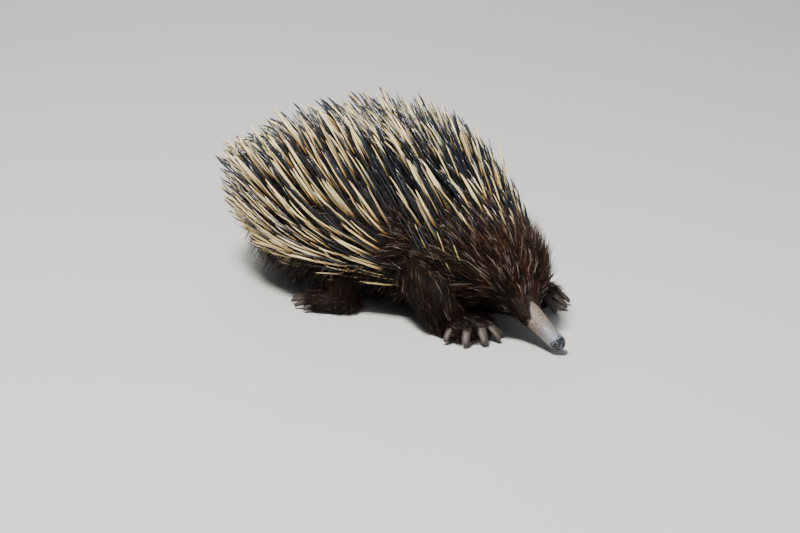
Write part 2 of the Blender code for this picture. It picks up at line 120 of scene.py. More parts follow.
FOREFOOT = (
    (101, -42, 9, 0, 0, 0), (105, -42.5, 9, 11, 7, 10), (117, -44, 9.5, 16, 7.5, 11),
    (128, -44.5, 10, 15.5, 6.5, 11), (136, -45, 9, 0, 0, 0),
)
HINDLIMB = (
    (-16, -28, 64, 0, 0, 0), (-10, -38, 55, 27, 18, 18), (1, -52, 38, 23, 17, 15),
    (12, -60, 20, 15, 12, 11), (16, -62, 9, 11, 9, 9), (16, -63, 5, 0, 0, 0),
)
HINDFOOT = (
    (27, -58, 9, 0, 0, 0), (24, -59, 8.5, 10, 7, 10), (11, -64.5, 8, 13, 8, 9.5),
    (-2, -70.5, 6.5, 13, 6.5, 8), (-9, -73.5, 5, 0, 0, 0),
)
# Root, heading from +X in degrees, length and half width of each claw of a right foot
FORECLAWS = (
    (130.5, -31.5, 10, 28, 10, 2.6), (134, -37.5, 11.5, 2, 12, 3.3), (133, -44.5, 12, -28, 13, 3.6),
    (128, -51.5, 12, -52, 14, 3.6), (119, -56, 11, -78, 11, 2.9),
)
HINDCLAWS = (
    (-1, -60, 6, 178, 12, 2.0), (-5, -66, 6.5, -170, 25, 2.2), (-6, -72, 6.5, -160, 18, 2.1),
    (-2, -77, 6, -145, 13, 2.0), (5, -78.5, 6, -125, 10, 1.9),
)
SQUARE = 0.84
LEFT_FORE_BACK = -14
LEFT_HIND_BACK = -51


# %% A sweep gives points and outward directions for whole arrays of places and turns at once
def catmull(rows, place):
    """Rows of numbers at places along the stations, on a smooth curve through them."""
    last = len(rows) - 1
    i = np.minimum(place.astype(int), last - 1)
    f = (place - i)[:, None]
    a, b = rows[np.maximum(i - 1, 0)], rows[i]
    c, d = rows[i + 1], rows[np.minimum(i + 2, last)]
    return 0.5 * (
        2 * b + (c - a) * f + (2 * a - 5 * b + 4 * c - d) * f * f + (3 * b - a - 3 * c + d) * f**3
    )


def unit(rows):
    return rows / np.maximum(np.linalg.norm(rows, axis=-1, keepdims=True), 1e-12)


class Sweep:
    """A smooth closed form: places run from 0 along the stations, turns in degrees from the top."""

    def __init__(self, stations, across=(0, 0, 1), shift=(0, 0, 0)):
        self.rows = np.array(stations, float) * MM
        self.rows[:, :3] += np.array(shift)
        self.across = np.array(across, float)
        self.last = len(stations) - 1

    def centre(self, place):
        place = np.clip(np.atleast_1d(np.asarray(place, float)), 0, self.last)
        row = catmull(self.rows, place)
        before = catmull(self.rows, np.maximum(place - 0.05, 0))
        after = catmull(self.rows, np.minimum(place + 0.05, self.last))
        along = unit(after[:, :3] - before[:, :3])
        side = unit(np.cross(self.across, along))
        return row[:, :3], along, side, np.cross(along, side), np.maximum(row[:, 3:], 0)

    def point(self, place, degrees):
        middle, _, side, up, reach = self.centre(place)
        turn = np.radians(np.asarray(degrees, float))
        out, rise = np.sin(turn), np.cos(turn)
        low = rise < 0
        out = np.where(low, np.sign(out) * np.abs(out) ** SQUARE, out) * reach[:, 0]
        rise = np.where(low, -(np.abs(rise) ** SQUARE) * reach[:, 2], rise * reach[:, 1])
        return middle + side * out[:, None] + up * rise[:, None]

    def normal(self, place, degrees):
        around = self.point(place, degrees + 1) - self.point(place, degrees - 1)
        onward = self.point(place + 0.04, degrees) - self.point(place - 0.04, degrees)
        return unit(np.cross(onward, around))

    def mesh(self, name, sides, rings):
        """A UV sphere whose rings are laid on the stations, with a pole at each end."""
        bm = sphere(sides, rings)
        ball = np.array([vert.co for vert in bm.verts])
        place = np.round(np.arccos(np.clip(ball[:, 2], -1, 1)) / math.pi * self.last, 6)
        spots = self.point(place, np.degrees(np.arctan2(ball[:, 1], ball[:, 0])))
        for vert, spot in zip(bm.verts, spots):
            vert.co = spot
        return finish_mesh(name, bm)


def linked(name, data):
    """An object in the scene that holds the data."""
    made = bpy.data.objects.new(name, data)
    bpy.context.scene.collection.objects.link(made)
    return made


def new_object(name, bm):
    """An object that holds the bmesh, which is freed."""
    mesh = bpy.data.meshes.new(name)
    bm.to_mesh(mesh)
    bm.free()
    return linked(name, mesh)


def sphere(sides, rings):
    bm = bmesh.new()
    bmesh.ops.create_uvsphere(bm, u_segments=sides, v_segments=rings, radius=1)
    return bm


def finish_mesh(name, bm):
    """Turns a bmesh into an object with its faces outward and shaded smooth."""
    bmesh.ops.recalc_face_normals(bm, faces=bm.faces)
    if bm.calc_volume(signed=True) < 0:
        bmesh.ops.reverse_faces(bm, faces=bm.faces)
    for face in bm.faces:
        face.smooth = True
    return new_object(name, bm)


def shade_smooth(mesh):
    for face in mesh.polygons:
        face.use_smooth = True


def side_name(side):
    return "left" if side > 0 else "right"


def read(items, key, width=1, kind=np.int32):
    """One value, or a row of them, of every item as an array."""
    values = np.empty(len(items) * width, kind)
    items.foreach_get(key, values)
    return values


# %% [markdown]
# ## Finding the frame's own origin
# The solids were moved so that their box stands on the origin. The right eye says by how much: the
# stations give its place before that move, the frame gives it after.

# %% The shift from the stations to the frame
EYE_PLACE, EYE_TURN, EYE_RADIUS, EYE_SHOWN = 11.3, 100, 3.6 * MM, 1.3 * MM
EAR_PLACE, EAR_TURN = 8.95, 98


def seat(sweep, place, degrees):
    """A point on the skin, the way out of it, and axes ahead, across and out as a matrix."""
    place, degrees = np.array([float(place)]), np.array([float(degrees)])
    point, out = Vector(sweep.point(place, degrees)[0]), Vector(sweep.normal(place, degrees)[0])
    ahead = Vector(sweep.centre(place)[1][0])
    ahead = (ahead - out * ahead.dot(out)).normalized()
    return point, out, Matrix((ahead, out.cross(ahead), out)).transposed().to_4x4()


def middle_of(node):
    low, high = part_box(node)
    return (Vector(low) + Vector(high)) / 2


def eye_seat(sweep, side):
    """The middle of an eye's lids, the middle of its ball, and its axes."""
    point, out, turn = seat(sweep, EYE_PLACE, EYE_TURN * side)
    return point, point - out * (EYE_RADIUS - EYE_SHOWN), turn


SHIFT = middle_of("eye_right") - eye_seat(Sweep(BODY), -1)[1]
SHIFT.z = 0
body = Sweep(BODY, shift=SHIFT)
tail = Sweep(TAIL, shift=SHIFT)


def left(stations, forward):
    return tuple((x + forward, -y, *rest) for x, y, *rest in stations)


limbs, feet = [], []
for stations, foot, back in ((FORELIMB, FOREFOOT, LEFT_FORE_BACK), (HINDLIMB, HINDFOOT, LEFT_HIND_BACK)):
    limbs += [Sweep(stations, (0, 1, 0), SHIFT), Sweep(left(stations, back), (0, 1, 0), SHIFT)]
    feet += [Sweep(foot, shift=SHIFT), Sweep(left(foot, back), shift=SHIFT)]
print("shift in mm", [round(v / MM, 2) for v in SHIFT])

# %% [markdown]
# ## One skin
# Trunk, tail, limbs and feet are swept one by one, with a small ball for each toe. A voxel remesh then
# melts them into a single closed surface with soft joints. The soles are pressed flat on the floor, and
# sockets, nostrils and the slit of the mouth are cut.

# %% Sweeps and toes joined by a voxel remesh
SKIN_VOXEL = 1.45 * MM
SKIN_INSET = 0.5 * MM
SOLE_LEVEL = 0.05 * MM
TOE_SHARE, TOE_LONGER, TOE_WIDER, TOE_HALF = 0.22, 2 * MM, 1.1 * MM, 3.6 * MM


def joined(name, objects):
    """One object that holds the meshes of all of these, which are removed."""
    bm = bmesh.new()
    for obj in objects:
        bm.from_mesh(obj.data)
        bpy.data.objects.remove(obj)
    return new_object(name, bm)


def applied(obj):
    """Bakes an object's modifiers into its mesh."""
    graph = bpy.context.evaluated_depsgraph_get()
    mesh = bpy.data.meshes.new_from_object(obj.evaluated_get(graph))
    obj.modifiers.clear()
    obj.data = mesh
    return obj


def ball(name, centre, radii, turn, sides=24, rings=16):
    bm = sphere(sides, rings)
    placed = Matrix.Translation(centre) @ turn @ Matrix.Diagonal((*radii, 1))
    bmesh.ops.transform(bm, matrix=placed, verts=bm.verts)
    return finish_mesh(name, bm)


def claw_rows(foot_claws, side, back):
    """Root, heading, length and half width of each claw of one foot, in the frame."""
    for x, y, z, turn, length, width in foot_claws:
        root = Vector((x + (back if side > 0 else 0), y * -side, z)) * MM + SHIFT
        yield root, math.radians(turn) * -side, length * MM, width * MM


CLAWS = [
    (kind, side, list(claw_rows(rows, side, back)))
    for kind, rows, back in (("fore", FORECLAWS, LEFT_FORE_BACK), ("hind", HINDCLAWS, LEFT_HIND_BACK))
    for side in (-1, 1)
]

forms = [body.mesh("trunk", 72, 150), tail.mesh("stub", 32, 24)]
forms += [limb.mesh("limb", 32, 30) for limb in limbs] + [foot.mesh("foot", 32, 24) for foot in feet]
for kind, side, rows in CLAWS:
    for root, heading, length, width in rows:
        ahead = Vector((math.cos(heading), math.sin(heading), 0))
        turn = Matrix.Rotation(heading, 4, "Z")
        radii = (length * TOE_SHARE + TOE_LONGER, width + TOE_WIDER, TOE_HALF)
        forms.append(ball("toe", root + ahead * MM, radii, turn, 16, 10))
skin = joined("skin", forms)
remesh = skin.modifiers.new("melt", "REMESH")
remesh.mode = "VOXEL"
remesh.voxel_size = SKIN_VOXEL
smooth = skin.modifiers.new("soften", "SMOOTH")
smooth.factor, smooth.iterations = 0.5, 4
applied(skin)
print("skin", len(skin.data.polygons), "faces")


# %% Soles pressed flat, then the openings cut
MOUTH = (15.72, 180, (4.5 * MM, 4.4 * MM, 0.55 * MM))
NOSTRILS = [(15.1, degrees, (1.5 * MM, 0.55 * MM, 1.1 * MM)) for degrees in (-26, 26)]
SOCKET_GAP = 0.15 * MM
# All of the skin goes in by the inset, and what is under the floor is laid flat on it
spots, ways = (read(skin.data.vertices, key, 3, float).reshape(-1, 3) for key in ("co", "normal"))
spots = spots - ways * SKIN_INSET
spots[:, 2] = np.maximum(spots[:, 2], SOLE_LEVEL)
skin.data.vertices.foreach_set("co", spots.ravel())
skin.data.update()
openings = []
for place, degrees, size in (MOUTH, *NOSTRILS):
    point, _, turn = seat(body, place, degrees)
    openings.append(ball("opening", point, size, turn))
for side in (-1, 1):
    _, centre, turn = eye_seat(body, side)
    openings.append(ball("socket", centre, [EYE_RADIUS + SOCKET_GAP] * 3, turn))
group = bpy.data.collections.new("tools")
bpy.context.scene.collection.children.link(group)
for tool in openings:
    group.objects.link(tool)
step = skin.modifiers.new("cut", "BOOLEAN")
step.operation, step.operand_type, step.collection = "DIFFERENCE", "COLLECTION", group
step.solver = "EXACT"
applied(skin)
for tool in openings:
    bpy.data.objects.remove(tool)
bpy.data.collections.remove(group)
shade_smooth(skin.data)
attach(skin, "root")
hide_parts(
    "torso", "neck", "head", "beak", "tail",
    "foreleg_left", "foreleg_right", "hindleg_left", "hindleg_right",
)
print("cut skin", len(skin.data.polygons), "faces")

# %% [markdown]
# ## A map of the skin
# Each point of the skin belongs to one sweep, at one place along it and one turn round it. That pair is
# a natural unwrap: each sweep gets its own island, and each hair and spine takes a tiny patch of the same
# map at its root. The skin also keeps its place along the body as an attribute, so that the material
# knows where the bare beak begins.

# %% Islands of the map
SWEEPS = [body, tail, *limbs, *feet]
# How many places a net has, and the degrees between its turns
NET_BODY, NET_OTHER, NET_END = (240, 3), (40, 9), 0.02


def island(k, place, degrees):
    """UV of a place and turn on sweep k: the body has the left two thirds, the others a row each."""
    across = (np.asarray(degrees, float) + 180) / 360
    onward = np.asarray(place, float) / SWEEPS[k].last
    if k == 0:
        return np.stack([0.03 + 0.64 * across, 0.02 + 0.95 * onward], -1)
    high = 1 / (len(SWEEPS) - 1)
    return np.stack([0.73 + 0.23 * across, (k - 1) * high + 0.01 + (high - 0.03) * onward], -1)


def grid(k):
    """A fine net of places and turns over sweep k, with their points."""
    fine, step = NET_BODY if k == 0 else NET_OTHER
    places = np.linspace(NET_END, SWEEPS[k].last - NET_END, fine)
    place, turn = (v.ravel() for v in np.meshgrid(places, np.arange(-180.0, 180, step)))
    return place, turn, SWEEPS[k].point(place, turn)


def nearest_of(points, spots):
    """For each spot, which of the points lies nearest."""
    search = KDTree(len(points))
    for i, point in enumerate(points):
        search.insert(point, i)
    search.balance()
    return np.array([search.find(spot)[1] for spot in spots])


nets = [grid(k) for k in range(len(SWEEPS))]
owner = np.concatenate([np.full(len(net[0]), k) for k, net in enumerate(nets)])
net_place, net_turn, net_points = (np.concatenate(column) for column in zip(*nets))
nearest = nearest_of(net_points, [vert.co for vert in skin.data.vertices])
print("map net", len(net_points), "points")


# %% UVs and attributes of the skin
def set_attribute(mesh, name, values):
    layer = mesh.attributes.new(name, "FLOAT", "POINT")
    layer.data.foreach_set("value", np.asarray(values, np.float32))


# Each face gets the island of its first corner, and doesn't wrap round the seam
corners = read(skin.data.loops, "vertex_index")
starts, totals = (read(skin.data.polygons, key) for key in ("loop_start", "loop_total"))
at, lead = nearest[corners], nearest[np.repeat(corners[starts], totals)]
at = np.where(owner[at] == owner[lead], at, lead)
turn = net_turn[at]
turn = turn + 360 * np.round((net_turn[lead] - turn) / 360)
flat = np.zeros((len(corners), 2))
for k in range(len(SWEEPS)):
    mine = owner[at] == k
    flat[mine] = island(k, net_place[at][mine], turn[mine])
uvs = skin.data.uv_layers.new(name="OFBake")
uvs.data.foreach_set("uv", flat.astype(np.float32).ravel())
on_body = owner[nearest] == 0
set_attribute(skin.data, "along_body", np.where(on_body, net_place[nearest], 0))
set_attribute(skin.data, "turn", np.abs(net_turn[nearest]) / 180)
skin_tree = BVHTree.FromPolygons(
    [vert.co.copy() for vert in skin.data.vertices], [tuple(face.vertices) for face in skin.data.polygons]
)
print("skin mapped")


# %% [markdown]
# ## Strands
# Spines, bristles and wool are the same thing at other sizes: a root, a way to grow, a bend, a length
# and a width. An Array modifier repeats one template strand as often as needed, and the copies are then
# laid on their own lines in one stroke. Each vertex keeps how far along its strand it is, and the tone
# of the strand, for the material to read.

# %% A maker of strands
PATCH = 0.003
STRAND_LOW = 0.3 * MM


def repeated(name, rings, sides, count):
    """Copies of a template strand as one object, and the ring and direction of each template vertex."""
    bm = sphere(sides, rings + 1)
    bmesh.ops.triangulate(bm, faces=bm.faces)
    bmesh.ops.recalc_face_normals(bm, faces=bm.faces)
    ball = np.array([vert.co for vert in bm.verts])
    made = new_object(name, bm)
    array = made.modifiers.new("repeat", "ARRAY")
    array.count = count
    array.use_relative_offset = False
    applied(made)
    row = np.round(np.arccos(np.clip(ball[:, 2], -1, 1)) / math.pi * (rings + 1)).astype(int)
    flat = unit(ball[:, :2])
    flat[(row == 0) | (row == rings + 1)] = 0
    return made, row, flat


def make_strands(name, roots, ways, bends, lengths, halves, thins, sunk, profile, sides, uv, tone, kind):
    """A piece of strands from arrays: where each is rooted and how it grows, its UV patch and tone."""
    count, rings = len(roots), len(profile)
    made, row, flat = repeated(name, rings, sides, count)
    table = np.array([(-1, 0), *profile, (1, 0)], float)
    share, width = table[row, 0], table[row, 1]
    ways = unit(ways)
    bends = bends - ways * (bends * ways).sum(axis=1, keepdims=True)
    across = unit(np.cross(ways, bends))
    off = np.cross(across, ways)
    # A share under 0 is below the skin, counted in depths of the root
    reach = np.where(share < 0, share * (sunk / lengths)[:, None], share[None])
    bent = np.maximum(reach, 0) ** 2
    line = (ways[:, None] + bends[:, None] * bent[..., None]) * (reach * lengths[:, None])[..., None]
    wide = across[:, None] * (flat[:, 1] * width)[None, :, None] * halves[:, None, None]
    thick = off[:, None] * (flat[:, 0] * width)[None, :, None] * thins[:, None, None]
    spots = roots[:, None] + line + wide + thick
    spots[..., 2] = np.maximum(spots[..., 2], STRAND_LOW)
    mesh = made.data
    mesh.vertices.foreach_set("co", spots.ravel())
    shade_smooth(mesh)
    set_attribute(mesh, "along", np.maximum(reach, 0).ravel())
    set_attribute(mesh, "tone", np.repeat(tone, len(row)))
    set_attribute(mesh, "kind", np.repeat(kind, len(row)))
    round_it = np.arctan2(flat[:, 1], flat[:, 0]) / (2 * math.pi)
    patch = np.stack([np.broadcast_to(round_it, reach.shape), np.maximum(reach, 0) - 0.5], -1) * PATCH
    flat_uv = (uv[:, None] + patch).reshape(-1, 2)
    layer = mesh.uv_layers.new(name="OFBake")
    layer.data.foreach_set("uv", flat_uv[read(mesh.loops, "vertex_index")].astype(np.float32).ravel())
    mesh.update()
    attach(made, "root")
    print(name, count, "strands", len(mesh.polygons), "triangles")
    return made


# %% Roots spread like seeds, never closer than a set distance
CELLS, TRIES = 90, 5


def scatter(k, places, turns, apart, seed):
    """Places and turns on sweep k, at random but no two nearer than apart, and the random source."""
    rng = np.random.default_rng(seed)
    sweep = SWEEPS[k]
    place, turn = np.meshgrid(np.linspace(*places, CELLS), np.linspace(*turns, CELLS))
    step = [(last - first) / (CELLS - 1) for first, last in (places, turns)]
    place, turn = place.ravel(), turn.ravel()
    here = sweep.point(place, turn)
    edge = np.cross(sweep.point(place + step[0], turn) - here, sweep.point(place, turn + step[1]) - here)
    area = np.linalg.norm(edge, axis=1)
    tries = int(TRIES * area.sum() / apart**2)
    pick = rng.choice(len(area), tries, p=area / area.sum())
    place = place[pick] + rng.uniform(-0.5, 0.5, tries) * step[0]
    turn = turn[pick] + rng.uniform(-0.5, 0.5, tries) * step[1]
    spots = sweep.point(place, turn)
    cells = np.floor(spots / apart).astype(int)
    taken, kept = {}, []
    around = [(a, b, c) for a in (-1, 0, 1) for b in (-1, 0, 1) for c in (-1, 0, 1)]
    for i, (x, y, z) in enumerate(cells.tolist()):
        near = (taken.get((x + a, y + b, z + c), ()) for a, b, c in around)
        if all(((spots[j] - spots[i]) ** 2).sum() > apart**2 for cell in near for j in cell):
            taken.setdefault((x, y, z), []).append(i)
            kept.append(i)
    return place[kept], turn[kept], rng


def roots_on_skin(k, place, turn, within=4 * MM):
    """The nearest points of the skin, its outward ways there, and which roots are really on it."""
    spots = SWEEPS[k].point(place, turn)
    found = [skin_tree.find_nearest(Vector(spot)) for spot in spots]
    near, out, _, gap = (np.array(column) for column in zip(*found))
    return near, out, gap < within


def step_up(value, low, high):
    share = np.clip((value - low) / (high - low), 0, 1)
    return share * share * (3 - 2 * share)


def laid(flow, out):
    """A flow turned out of the skin where it would run into it."""
    inward = np.minimum((flow * out).sum(axis=1, keepdims=True), 0)
    return unit(flow - out * inward) * np.linalg.norm(flow, axis=1, keepdims=True)


# %% [markdown]
# ## The spines
# Full spines are about 44 mm long, up to 3 mm thick, and taper only in their last third. About two in
# five are cream with a dark foot, which is painted shade among the roots, fewer on the crest and more low
# on the flanks, and the rest are dark slate with a painted blue-grey sheen near the tip. They stand up
# over the shoulders, lie flatter on the flanks, where they are also thinner, and fan out over the rump.
# The flow is the one that the solids use, with more and slimmer spines.

# %% Which way the coat flows
FLOW_UP, SIDE_UP, LOW_UP, RUMP_UP, FRONT_UP = 0.2, 0.78, -0.52, -0.5, 1.5
SIDE_TURNS, REAR_SIDE_TURNS, LOW_TURNS, FRONT_TURNS = (10, 38), (38, 64), (70, 118), (48, 84)
RUMP_X, END_X, FRONT_X = (20 * MM, 75 * MM), (78 * MM, 108 * MM), (80 * MM, 112 * MM)
END_SHARE = 0.7


def flow_at(x, turn):
    """Back along the animal and down over the rump, and also up on the sides, most on the shoulders."""
    x, turn = x - SHIFT.x, np.abs(turn)
    rump = step_up(-x, *RUMP_X)
    side = step_up(turn, *SIDE_TURNS) * (1 - rump) + step_up(turn, *REAR_SIDE_TURNS) * rump
    side_up = SIDE_UP * (1 - END_SHARE * step_up(-x, *END_X))
    up = FLOW_UP + RUMP_UP * rump * (1 - side) + side_up * side + LOW_UP * step_up(turn, *LOW_TURNS)
    up = up + FRONT_UP * step_up(turn, *FRONT_TURNS) * step_up(x, *FRONT_X)
    return np.stack([-np.ones_like(x), np.zeros_like(x), up], -1)


# %% Where spines grow and how
SPINE_APART, NECK_APART, LOW_APART, SPINE_ROOT = 4.6 * MM, 4.4 * MM, 7 * MM, 3 * MM
SPINE_LENGTH, SPINE_HALF = 44 * MM, 1.38 * MM
# Share of cream spines on the back, the shoulders and the flanks, and how much less of it on the crest
CREAM_BACK, CREAM_SHOULDER, CREAM_FLANK, CREST_LOSS, CREST_TURNS = 0.42, 0.22, 0.66, 0.4, (10, 50)
MIXED_SHARE, MIXED_TONE = 0.1, 0.4
LIKE_REACH, LIKE_LEAN = 10 * MM, 0.9
RISE_BACK, RISE_FLANK, RISE_SHOULDER, RISE_SHAKE = 0.75, 0.3, 0.8, 0.05
WAY_SHAKE, BEND_SHAKE, BEND_IN = 0.07, 0.035, 0.1
STOUT_POWER, LENGTH_SHARES, HALF_SHARES = 2.1, (0.66, 0.24, 0.16), (0.38, 0.68)
FLANK_SHORTER, FLANK_SLIMMER, SHORT_HALF, SPINE_FLAT = 0.22, 0.36, 0.35, 0.92
EDGE_SHAKE, RUMP_EDGE, RUMP_PLACES = 4, 24, (0.9, 1.8)
FLANK_TURNS, SHOULDER_X = (60, 112), (28 * MM, 70 * MM)
FOLD_X, FOLD_SOFT, FOLD_TURNS, FOLD_END = (61 * MM, 84 * MM), 2 * MM, (48, 60), (94, 106)
FOLD_BARE, FOLD_WOOL = 0.98, 0.15
SPINE_PROFILE = ((-0.5, 0.8), (0.05, 0.92), (0.4, 1), (0.8, 0.8), (0.94, 0.45))


def in_fold(x, turn):
    """How deep a root lies in the fold behind the shoulder, from 0 to 1."""
    x = x - SHIFT.x
    entry, leave = (step_up(x, edge - FOLD_SOFT, edge + FOLD_SOFT) for edge in FOLD_X)
    inside = entry * (1 - leave)
    return inside * step_up(np.abs(turn), *FOLD_TURNS) * (1 - step_up(np.abs(turn), *FOLD_END))


def alternated(roots, share, rng):
    """Cream or slate for each spine, leaning to what its neighbours are not."""
    kind = np.zeros(len(roots))
    done = []
    for i in rng.permutation(len(roots)):
        lean = 0.0
        if done:
            near = np.array(done)
            near = near[((roots[near] - roots[i]) ** 2).sum(axis=1) < LIKE_REACH**2]
            if len(near):
                lean = LIKE_LEAN * (share[i] - kind[near].mean())
        kind[i] = rng.random() < share[i] + lean
        done.append(i)
    return kind


def between(first, second, share):
    return first + (second - first) * share


def grow_spines(places, turns, apart, seed, size=(1, 1), edge=131, start=0, slim=1.0):
    """Spines over one stretch of the body, whose size goes from the first to the second number."""
    place, turn, rng = scatter(0, places, turns, apart, seed)
    roots, out, on_it = roots_on_skin(0, place, turn)
    x, side = roots[:, 0], np.abs(turn)
    edge = edge + rng.normal(0, EDGE_SHAKE, len(x)) + RUMP_EDGE * (1 - step_up(place, *RUMP_PLACES))
    keep = on_it & (rng.random(len(x)) > in_fold(x, turn) * FOLD_BARE) & (side < edge) & (side > start)
    place, turn, side, roots, out, x = (v[keep] for v in (place, turn, side, roots, out, x))
    count = len(place)
    low, shoulder = step_up(side, *FLANK_TURNS), step_up(x - SHIFT.x, *SHOULDER_X)
    flow = laid(flow_at(x, turn), out)
    rise = between(RISE_BACK, RISE_FLANK, low) + rng.normal(0, RISE_SHAKE, count)
    rise = rise + (RISE_SHOULDER - RISE_BACK) * shoulder * (1 - low)
    ways = flow + out * rise[:, None] + rng.normal(0, WAY_SHAKE, (count, 3))
    fade = between(*size, step_up(place, *places))
    # A few stout spines stand among many slim ones
    stout = rng.random(count) ** STOUT_POWER
    least, fatter, chance = LENGTH_SHARES
    lengths = SPINE_LENGTH * fade * (least + fatter * stout + chance * rng.random(count))
    lengths = lengths * (1 - FLANK_SHORTER * low)
    halves = SPINE_HALF * slim * (HALF_SHARES[0] + HALF_SHARES[1] * stout)
    halves = halves * (1 - FLANK_SLIMMER * low) * between(SHORT_HALF, 1, fade)
    bends = (flow - out) * BEND_IN + rng.normal(0, BEND_SHAKE, (count, 3))
    above = between(CREAM_BACK, CREAM_SHOULDER, shoulder)
    above = above * (1 - CREST_LOSS * (1 - step_up(side, *CREST_TURNS)))
    kind = alternated(roots, between(above, CREAM_FLANK, low), rng)
    kind = np.abs(kind - MIXED_TONE * (rng.random(count) < MIXED_SHARE))
    return roots, ways, bends, lengths, halves, island(0, place, turn), rng.random(count), kind, turn


parts = [
    grow_spines((0.1, 7.4), (-156, 156), SPINE_APART, 7),
    grow_spines((7.4, 8.8), (-124, 124), NECK_APART, 8, (0.95, 0.45), edge=118),
    grow_spines((2.2, 7.2), (-152, 152), LOW_APART, 9, (0.95, 0.9), edge=134, start=106, slim=0.8),
]
*columns, turn = (np.concatenate(column) for column in zip(*parts))
spines = []
for name, mine in (("spines_right", turn < 0), ("spines_left", turn >= 0)):
    roots, ways, bends, lengths, halves, uv, tone, kind = (column[mine] for column in columns)
    sizes = lengths, halves, halves * SPINE_FLAT, SPINE_ROOT, SPINE_PROFILE, 6
    spines.append(make_strands(name, roots, ways, bends, *sizes, uv, tone, kind))

# %% [markdown]
# ## The hair
# Bristly hair covers the head and the neck, lies back from the beak, and gets longer towards the
# shoulders. Wool fills the gaps between the spines, and a dark fringe hangs from the low flanks to the
# shade under the belly. Each hair here is a thin three-sided blade, many to a square centimetre.

# %% Hair along a sweep
HAIR_PROFILE = ((-0.5, 0.8), (0.4, 1), (0.78, 0.6))
EYES = [eye_seat(body, side)[0] for side in (-1, 1)]
EARS = [seat(body, EAR_PLACE, EAR_TURN * side)[0] for side in (-1, 1)]
EYE_CLEAR, EYE_BARE, EAR_BARE = 3 * MM, 3.2 * MM, 2 * MM
SHORT_BY_EYE, EYE_ZONE = 0.6, (3.5 * MM, 7.5 * MM)
HAIR_LENGTHS, HAIR_HALVES, HAIR_ROOT, HAIR_FLAT = (0.6, 1.15), (0.6, 1.25), 1.2 * MM, 0.5
THIN_SHORT, FULL_LENGTH, PALE_FINER = 0.6, 12 * MM, 0.4
CLUMP_PULL, CLUMP_REACH, OWN_WILD, CLUMP_PALE = 0.55, 4 * MM, 0.7, (0.4, 1.2)
FLOOR_ROOM, BEND_DOWN, SAG, HAIR_SHAKE = 1 * MM, 0.25, -0.08, 0.05


# Where hair and bare skin meet on the beak, and the wedge of bare skin up its ridge
HAIR_EDGE, BARE_EDGE, WEDGE, WEDGE_TURN, EDGE_ROUGH = 12.86, 12.75, 0.85, 38, 0.05


def far_from(points, roots):
    return np.min([np.linalg.norm(roots - np.array(point), axis=1) for point in points], axis=0)


def clear_of_eyes(roots, ways, lengths):
    """Hairs that would lie across an eye end just before it."""
    for eye_at in EYES:
        to_eye = np.array(eye_at) - roots
        nearest = (to_eye * ways).sum(axis=1)
        miss = np.linalg.norm(to_eye - ways * nearest[:, None], axis=1)
        crosses = (nearest > 0) & (miss < EYE_CLEAR)
        lengths = np.where(crosses, np.minimum(lengths, np.maximum(nearest - EYE_CLEAR, MM)), lengths)
    return lengths


def grow_hair(
    name, k, places, turns, apart, seed, length, rise, half, pale, droop=0, dark=0, clump=6, wild=0.12,
    edge=None,
):
    """Hair on sweep k, lying back along it in small clumps. Numbers may be functions of place and turn."""
    place, turn, rng = scatter(k, places, turns, apart, seed)
    roots, out, on_it = roots_on_skin(k, place, turn, 3 * MM)
    keep = on_it & (far_from(EYES, roots) > EYE_BARE) & (far_from(EARS, roots) > EAR_BARE)
    if edge is not None:
        keep &= edge(place, turn, rng)
    place, turn, roots, out = (v[keep] for v in (place, turn, roots, out))
    count = len(place)
    value = lambda v: v(place, turn) if callable(v) else np.full(count, float(v))
    back = laid(SWEEPS[k].centre(place)[1] * (-1 if k == 0 else 1), out)
    near_eye = between(SHORT_BY_EYE, 1, step_up(far_from(EYES, roots), *EYE_ZONE))
    lengths = value(length) * MM * rng.uniform(*HAIR_LENGTHS, count) * near_eye
    # Every hair leans to the middle of its clump, whose hairs share a lean and half their tone
    lead_place, lead_turn, _ = scatter(k, places, turns, clump * MM, seed + 100)
    leads = SWEEPS[k].point(lead_place, lead_turn)
    mine = nearest_of(leads, roots)
    shared = rng.normal(0, wild, (len(leads), 3))[mine]
    gather = (leads[mine] - roots) / np.maximum(lengths, CLUMP_REACH)[:, None] * CLUMP_PULL
    own = rng.normal(0, wild * OWN_WILD, (count, 3))
    ways = back + out * value(rise)[:, None] + shared + gather + own
    ways[:, 2] -= value(droop)
    ways = unit(ways)
    lengths = clear_of_eyes(roots, ways, lengths)
    least, more = CLUMP_PALE
    chance = rng.random(count)
    kind = (chance < value(pale) * (least + more * rng.random(len(leads))[mine])).astype(float)
    halves = half * MM * rng.uniform(*HAIR_HALVES, count)
    halves = halves * between(THIN_SHORT, 1, np.clip(lengths / FULL_LENGTH, 0, 1))
    halves = halves * (1 - PALE_FINER * kind)
    # A tip that would pass the floor is shortened to stop above it
    drop = -ways[:, 2] * lengths
    room = np.maximum(roots[:, 2] - FLOOR_ROOM, FLOOR_ROOM)
    lengths = np.where(drop > room, lengths * room / np.maximum(drop, 1e-6), lengths)
    bends = -out * BEND_DOWN + np.array([0, 0, SAG]) + rng.normal(0, HAIR_SHAKE, (count, 3))
    tone = 0.5 * rng.random(count) + 0.5 * rng.random(len(leads))[mine] - value(dark)
    sizes = lengths, halves, halves * HAIR_FLAT, HAIR_ROOT, HAIR_PROFILE, 3
    piece = make_strands(name, roots, ways, bends, *sizes, island(k, place, turn), tone, kind)
    return piece


def beak_edge(place, turn, rng):
    """Hair stops where the bare skin begins, which runs back in a narrow wedge along the ridge."""
    wedge = WEDGE * np.exp(-((turn / WEDGE_TURN) ** 2))
    return place < HAIR_EDGE - wedge + rng.normal(0, EDGE_ROUGH, len(place))


def fold_edge(place, turn, rng):
    return in_fold(SWEEPS[0].point(place, turn)[:, 0], turn) > FOLD_WOOL


